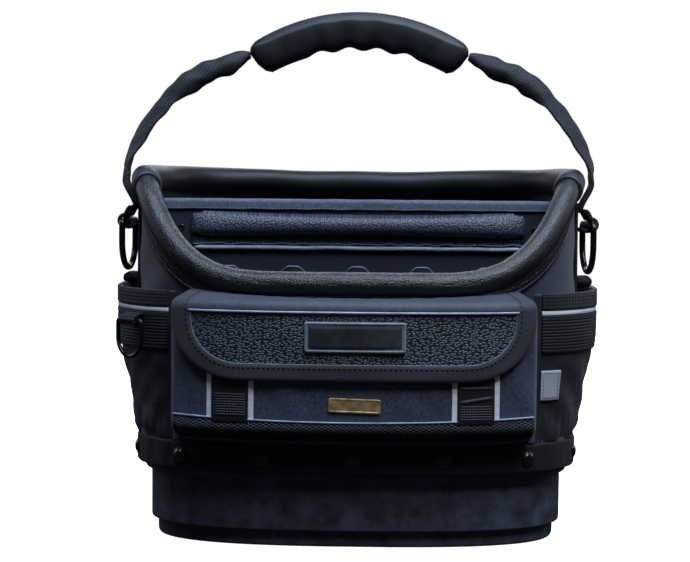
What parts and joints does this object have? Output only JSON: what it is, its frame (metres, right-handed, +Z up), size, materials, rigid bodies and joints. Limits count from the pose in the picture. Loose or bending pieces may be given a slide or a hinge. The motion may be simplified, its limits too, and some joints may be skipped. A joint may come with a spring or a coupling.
{
  "type": "open top tool tote",
  "caption": "Open top tool tote with a moulded base, padded fabric walls, divider, outside pockets and an arched webbing handle with a moulded grip.",
  "frame": {"origin": "middle of the base's underside, on the ground", "axes": "+Z up, +X to the right seen from the front, the pocket side faces -Y"},
  "size_m": [0.3788, 0.2693, 0.4091],
  "materials": {
    "nylon": "heavy woven nylon",
    "leather": "pebbled, satin",
    "moulded": "fine matt texture",
    "binding": "grosgrain tape",
    "webbing": "ribbed webbing",
    "reflective": "reflective tape",
    "brass": "brushed",
    "black_metal": "black gloss",
    "lining": "smooth coated cloth",
    "label": "woven satin, bare",
    "rubber": "matt soft rubber"
  },
  "bodies": {
    "tote": {"base_floor": "moulded", "base_tub": "moulded", "wall_panel_front": "nylon", "wall_panel_back": "nylon", "base_band": "nylon", "rivet_01": "black_metal", "rivet_02": "black_metal", "rivet_03": "black_metal", "rivet_04": "black_metal", "rivet_05": "black_metal", "rivet_06": "black_metal", "rivet_07": "black_metal", "rivet_08": "black_metal", "rivet_09": "black_metal", "rivet_10": "black_metal", "rivet_11": "black_metal", "rivet_12": "black_metal", "rivet_13": "black_metal", "rivet_14": "black_metal", "rim_roll_front": "leather", "rim_roll_rear_left": "nylon", "rim_roll_rear_right": "nylon", "divider_board": "lining", "divider_bolster": "leather", "divider_piping": "reflective", "tool_loop_strip": "nylon", "front_pocket": "nylon", "pocket_mesh_panel": "leather", "pocket_flap": "leather", "flap_binding": "binding", "flap_top_strip": "nylon", "flap_piping": "reflective", "badge": "rubber", "name_plate": "brass", "webbing_ladder_left": "webbing", "webbing_ladder_right": "webbing", "reflective_tape_left": "reflective", "reflective_tape_right": "reflective", "side_pocket_left": "nylon", "side_pocket_cuff_left": "binding", "side_pocket_stripe_left": "reflective", "side_pocket_webbing_left": "webbing", "side_pocket_right": "nylon", "side_pocket_cuff_right": "binding", "side_pocket_stripe_right": "reflective", "side_pocket_webbing_right": "webbing", "side_label": "label", "side_strap_left": "webbing", "ring_loop_left": "webbing", "strap_end_left": "webbing", "side_strap_right": "webbing", "ring_loop_right": "webbing", "strap_end_right": "webbing", "d_ring_tab": "webbing", "grip": "rubber", "handle_strap_left": "webbing", "handle_strap_right": "webbing"},
    "ring_left": {"side_ring_left": "black_metal"},
    "ring_right": {"side_ring_right": "black_metal"},
    "ring_pocket": {"d_ring": "black_metal"}
  },
  "joints": [
    {"name": "ring_left_swing", "type": "hinge", "parent": "tote", "child": "ring_left", "pos_m": [-0.1823, 0, 0.244], "axis": [0.1392, 0.9903, 0], "range_deg": [-3, 150]},
    {"name": "ring_right_swing", "type": "hinge", "parent": "tote", "child": "ring_right", "pos_m": [0.1823, 0, 0.244], "axis": [0.1392, -0.9903, 0], "range_deg": [-3, 150]},
    {"name": "ring_pocket_swing", "type": "hinge", "parent": "tote", "child": "ring_pocket", "pos_m": [-0.1737, -0.07236, 0.17], "axis": [-0.6955, 0.7185, 0], "range_deg": [-4, 140]}
  ]
}
